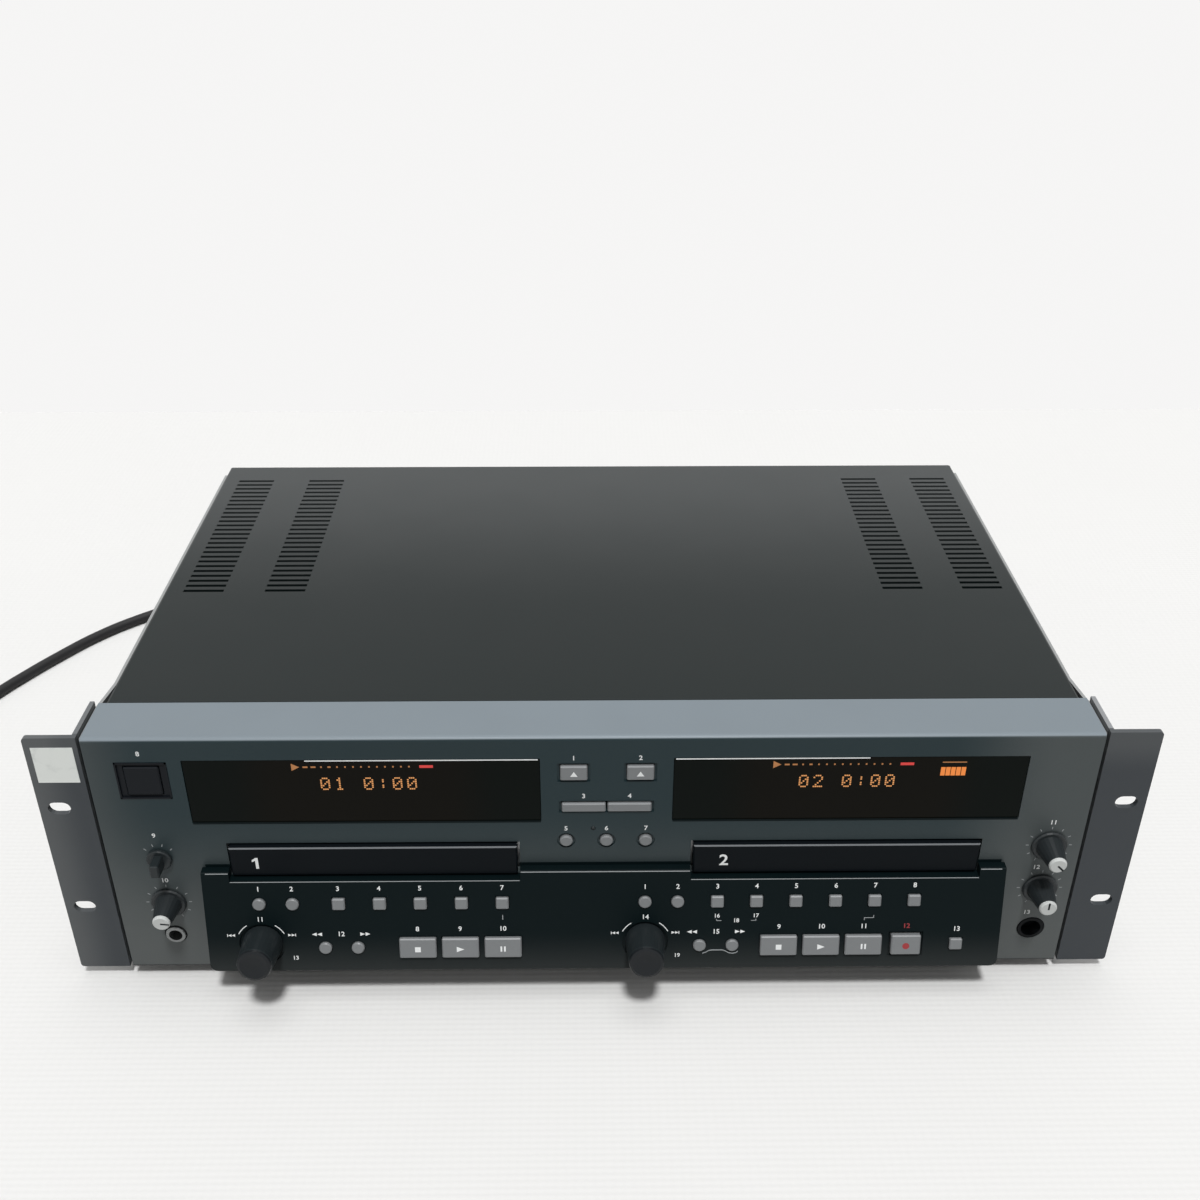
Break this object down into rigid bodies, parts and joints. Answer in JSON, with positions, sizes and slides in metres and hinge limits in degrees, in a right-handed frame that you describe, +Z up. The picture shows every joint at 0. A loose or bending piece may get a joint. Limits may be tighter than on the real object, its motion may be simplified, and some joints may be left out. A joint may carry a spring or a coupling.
{
  "type": "cd recorder",
  "caption": "Rack-mount disc recorder with two motor trays, displays, slanted control panel, dials, knobs and mains cord.",
  "frame": {"origin": "on the surface it stands on, under the middle of the recorder's box measured without its cord", "axes": "+X to the right as seen from the front, +Y to the back, +Z up"},
  "size_m": [0.738, 0.3939, 0.138],
  "materials": {
    "panel_paint": "dark grey satin paint",
    "cover_paint": "black satin paint on sheet steel",
    "case_paint": "grey coated sheet steel",
    "black_plastic": "fine grained black moulding",
    "key_plastic": "satin grey moulding",
    "knob_plastic": "satin dark grey moulding",
    "window_plastic": "smoked glossy display window",
    "bare_steel": "plain plated steel",
    "board_green": "green circuit board",
    "cord_rubber": "black flexible cord sheath"
  },
  "bodies": {
    "root": {"chassis_pan": "case_paint", "top_cover": "cover_paint", "front_panel": "panel_paint", "control_panel": "black_plastic", "rack_ear_left": "panel_paint", "rack_ear_right": "panel_paint", "display_board": "window_plastic", "disc_drive_1": "bare_steel", "disc_drive_2": "bare_steel", "main_board": "board_green", "power_supply": "board_green", "phones_jack": "bare_steel", "keyboard_socket": "bare_steel", "cord_gland": "cord_rubber", "power_cord": "cord_rubber", "cord_coil": "cord_rubber", "mains_plug": "cord_rubber"},
    "disc_tray_1": {"disc_tray_1": "black_plastic"},
    "disc_tray_2": {"disc_tray_2": "black_plastic"},
    "multi_dial_1": {"multi_dial_1": "black_plastic"},
    "multi_dial_2": {"multi_dial_2": "black_plastic"},
    "phones_selector": {"phones_selector": "black_plastic"},
    "level_knob": {"level_knob": "knob_plastic"},
    "input_knob": {"input_knob": "knob_plastic"},
    "balance_knob": {"balance_knob": "knob_plastic"},
    "power_button": {"power_button": "black_plastic"},
    "open_key_1": {"open_key_1": "key_plastic"},
    "open_key_2": {"open_key_2": "key_plastic"},
    "bar_key_left": {"bar_key_left": "key_plastic"},
    "bar_key_right": {"bar_key_right": "key_plastic"},
    "display_key_1": {"display_key_1": "key_plastic"},
    "repeat_key": {"repeat_key": "key_plastic"},
    "display_key_2": {"display_key_2": "key_plastic"},
    "left_round_key_1": {"left_round_key_1": "key_plastic"},
    "left_round_key_2": {"left_round_key_2": "key_plastic"},
    "left_square_key_1": {"left_square_key_1": "key_plastic"},
    "left_square_key_2": {"left_square_key_2": "key_plastic"},
    "left_square_key_3": {"left_square_key_3": "key_plastic"},
    "left_square_key_4": {"left_square_key_4": "key_plastic"},
    "left_square_key_5": {"left_square_key_5": "key_plastic"},
    "left_search_back_key": {"left_search_back_key": "key_plastic"},
    "left_search_forward_key": {"left_search_forward_key": "key_plastic"},
    "left_stop_key": {"left_stop_key": "key_plastic"},
    "left_play_key": {"left_play_key": "key_plastic"},
    "left_pause_key": {"left_pause_key": "key_plastic"},
    "right_round_key_1": {"right_round_key_1": "key_plastic"},
    "right_round_key_2": {"right_round_key_2": "key_plastic"},
    "right_square_key_1": {"right_square_key_1": "key_plastic"},
    "right_square_key_2": {"right_square_key_2": "key_plastic"},
    "right_square_key_3": {"right_square_key_3": "key_plastic"},
    "right_square_key_4": {"right_square_key_4": "key_plastic"},
    "right_square_key_5": {"right_square_key_5": "key_plastic"},
    "right_square_key_6": {"right_square_key_6": "key_plastic"},
    "right_search_back_key": {"right_search_back_key": "key_plastic"},
    "right_search_forward_key": {"right_search_forward_key": "key_plastic"},
    "right_stop_key": {"right_stop_key": "key_plastic"},
    "right_play_key": {"right_play_key": "key_plastic"},
    "right_pause_key": {"right_pause_key": "key_plastic"},
    "record_key": {"record_key": "key_plastic"},
    "input_key": {"input_key": "key_plastic"}
  },
  "joints": [
    {"name": "tray_1_slide", "type": "slide", "parent": "root", "child": "disc_tray_1", "axis": [0, -1, 0], "range_m": [0, 0.132]},
    {"name": "tray_2_slide", "type": "slide", "parent": "root", "child": "disc_tray_2", "axis": [0, -1, 0], "range_m": [0, 0.132]},
    {"name": "dial_1_turn", "type": "hinge", "parent": "root", "child": "multi_dial_1", "pos_m": [-0.15057, -0.13269, 0.03182], "axis": [0, -0.9788, 0.2048], "continuous": true},
    {"name": "dial_2_turn", "type": "hinge", "parent": "root", "child": "multi_dial_2", "pos_m": [0.02254, -0.13269, 0.03182], "axis": [0, -0.9788, 0.2048], "continuous": true},
    {"name": "selector_turn", "type": "hinge", "parent": "root", "child": "phones_selector", "pos_m": [-0.1933, -0.12089, 0.07265], "axis": [0, -1, 0], "range_deg": [-45, 45]},
    {"name": "level_turn", "type": "hinge", "parent": "root", "child": "level_knob", "pos_m": [-0.1933, -0.12089, 0.04688], "axis": [0, -1, 0], "range_deg": [-53, 247]},
    {"name": "input_turn", "type": "hinge", "parent": "root", "child": "input_knob", "pos_m": [0.2021, -0.12089, 0.07728], "axis": [0, -1, 0], "range_deg": [-15, 285]},
    {"name": "balance_turn", "type": "hinge", "parent": "root", "child": "balance_knob", "pos_m": [0.2021, -0.12089, 0.05209], "axis": [0, -1, 0], "range_deg": [-150, 150]},
    {"name": "power_push", "type": "slide", "parent": "root", "child": "power_button", "axis": [0, -1, 0], "range_m": [0, 0.003]},
    {"name": "open_1_push", "type": "slide", "parent": "root", "child": "open_key_1", "axis": [0, 1, 0], "range_m": [0, 0.0008], "stiffness_N_per_m": 400},
    {"name": "open_2_push", "type": "slide", "parent": "root", "child": "open_key_2", "axis": [0, 1, 0], "range_m": [0, 0.0008], "stiffness_N_per_m": 400},
    {"name": "bar_left_push", "type": "slide", "parent": "root", "child": "bar_key_left", "axis": [0, 1, 0], "range_m": [0, 0.0008], "stiffness_N_per_m": 400},
    {"name": "bar_right_push", "type": "slide", "parent": "root", "child": "bar_key_right", "axis": [0, 1, 0], "range_m": [0, 0.0008], "stiffness_N_per_m": 400},
    {"name": "display_1_push", "type": "slide", "parent": "root", "child": "display_key_1", "axis": [0, 1, 0], "range_m": [0, 0.0008], "stiffness_N_per_m": 400},
    {"name": "repeat_push", "type": "slide", "parent": "root", "child": "repeat_key", "axis": [0, 1, 0], "range_m": [0, 0.0008], "stiffness_N_per_m": 400},
    {"name": "display_2_push", "type": "slide", "parent": "root", "child": "display_key_2", "axis": [0, 1, 0], "range_m": [0, 0.0008], "stiffness_N_per_m": 400},
    {"name": "left_round_1_push", "type": "slide", "parent": "root", "child": "left_round_key_1", "axis": [0, 0.9788, -0.2048], "range_m": [0, 0.0008], "stiffness_N_per_m": 400},
    {"name": "left_round_2_push", "type": "slide", "parent": "root", "child": "left_round_key_2", "axis": [0, 0.9788, -0.2048], "range_m": [0, 0.0008], "stiffness_N_per_m": 400},
    {"name": "left_square_1_push", "type": "slide", "parent": "root", "child": "left_square_key_1", "axis": [0, 0.9788, -0.2048], "range_m": [0, 0.0008], "stiffness_N_per_m": 400},
    {"name": "left_square_2_push", "type": "slide", "parent": "root", "child": "left_square_key_2", "axis": [0, 0.9788, -0.2048], "range_m": [0, 0.0008], "stiffness_N_per_m": 400},
    {"name": "left_square_3_push", "type": "slide", "parent": "root", "child": "left_square_key_3", "axis": [0, 0.9788, -0.2048], "range_m": [0, 0.0008], "stiffness_N_per_m": 400},
    {"name": "left_square_4_push", "type": "slide", "parent": "root", "child": "left_square_key_4", "axis": [0, 0.9788, -0.2048], "range_m": [0, 0.0008], "stiffness_N_per_m": 400},
    {"name": "left_square_5_push", "type": "slide", "parent": "root", "child": "left_square_key_5", "axis": [0, 0.9788, -0.2048], "range_m": [0, 0.0008], "stiffness_N_per_m": 400},
    {"name": "left_search_back_push", "type": "slide", "parent": "root", "child": "left_search_back_key", "axis": [0, 0.9788, -0.2048], "range_m": [0, 0.0008], "stiffness_N_per_m": 400},
    {"name": "left_search_forward_push", "type": "slide", "parent": "root", "child": "left_search_forward_key", "axis": [0, 0.9788, -0.2048], "range_m": [0, 0.0008], "stiffness_N_per_m": 400},
    {"name": "left_stop_push", "type": "slide", "parent": "root", "child": "left_stop_key", "axis": [0, 0.9788, -0.2048], "range_m": [0, 0.0008], "stiffness_N_per_m": 400},
    {"name": "left_play_push", "type": "slide", "parent": "root", "child": "left_play_key", "axis": [0, 0.9788, -0.2048], "range_m": [0, 0.0008], "stiffness_N_per_m": 400},
    {"name": "left_pause_push", "type": "slide", "parent": "root", "child": "left_pause_key", "axis": [0, 0.9788, -0.2048], "range_m": [0, 0.0008], "stiffness_N_per_m": 400},
    {"name": "right_round_1_push", "type": "slide", "parent": "root", "child": "right_round_key_1", "axis": [0, 0.9788, -0.2048], "range_m": [0, 0.0008], "stiffness_N_per_m": 400},
    {"name": "right_round_2_push", "type": "slide", "parent": "root", "child": "right_round_key_2", "axis": [0, 0.9788, -0.2048], "range_m": [0, 0.0008], "stiffness_N_per_m": 400},
    {"name": "right_square_1_push", "type": "slide", "parent": "root", "child": "right_square_key_1", "axis": [0, 0.9788, -0.2048], "range_m": [0, 0.0008], "stiffness_N_per_m": 400},
    {"name": "right_square_2_push", "type": "slide", "parent": "root", "child": "right_square_key_2", "axis": [0, 0.9788, -0.2048], "range_m": [0, 0.0008], "stiffness_N_per_m": 400},
    {"name": "right_square_3_push", "type": "slide", "parent": "root", "child": "right_square_key_3", "axis": [0, 0.9788, -0.2048], "range_m": [0, 0.0008], "stiffness_N_per_m": 400},
    {"name": "right_square_4_push", "type": "slide", "parent": "root", "child": "right_square_key_4", "axis": [0, 0.9788, -0.2048], "range_m": [0, 0.0008], "stiffness_N_per_m": 400},
    {"name": "right_square_5_push", "type": "slide", "parent": "root", "child": "right_square_key_5", "axis": [0, 0.9788, -0.2048], "range_m": [0, 0.0008], "stiffness_N_per_m": 400},
    {"name": "right_square_6_push", "type": "slide", "parent": "root", "child": "right_square_key_6", "axis": [0, 0.9788, -0.2048], "range_m": [0, 0.0008], "stiffness_N_per_m": 400},
    {"name": "right_search_back_push", "type": "slide", "parent": "root", "child": "right_search_back_key", "axis": [0, 0.9788, -0.2048], "range_m": [0, 0.0008], "stiffness_N_per_m": 400},
    {"name": "right_search_forward_push", "type": "slide", "parent": "root", "child": "right_search_forward_key", "axis": [0, 0.9788, -0.2048], "range_m": [0, 0.0008], "stiffness_N_per_m": 400},
    {"name": "right_stop_push", "type": "slide", "parent": "root", "child": "right_stop_key", "axis": [0, 0.9788, -0.2048], "range_m": [0, 0.0008], "stiffness_N_per_m": 400},
    {"name": "right_play_push", "type": "slide", "parent": "root", "child": "right_play_key", "axis": [0, 0.9788, -0.2048], "range_m": [0, 0.0008], "stiffness_N_per_m": 400},
    {"name": "right_pause_push", "type": "slide", "parent": "root", "child": "right_pause_key", "axis": [0, 0.9788, -0.2048], "range_m": [0, 0.0008], "stiffness_N_per_m": 400},
    {"name": "record_push", "type": "slide", "parent": "root", "child": "record_key", "axis": [0, 0.9788, -0.2048], "range_m": [0, 0.0008], "stiffness_N_per_m": 400},
    {"name": "input_push", "type": "slide", "parent": "root", "child": "input_key", "axis": [0, 0.9788, -0.2048], "range_m": [0, 0.0008], "stiffness_N_per_m": 400}
  ]
}
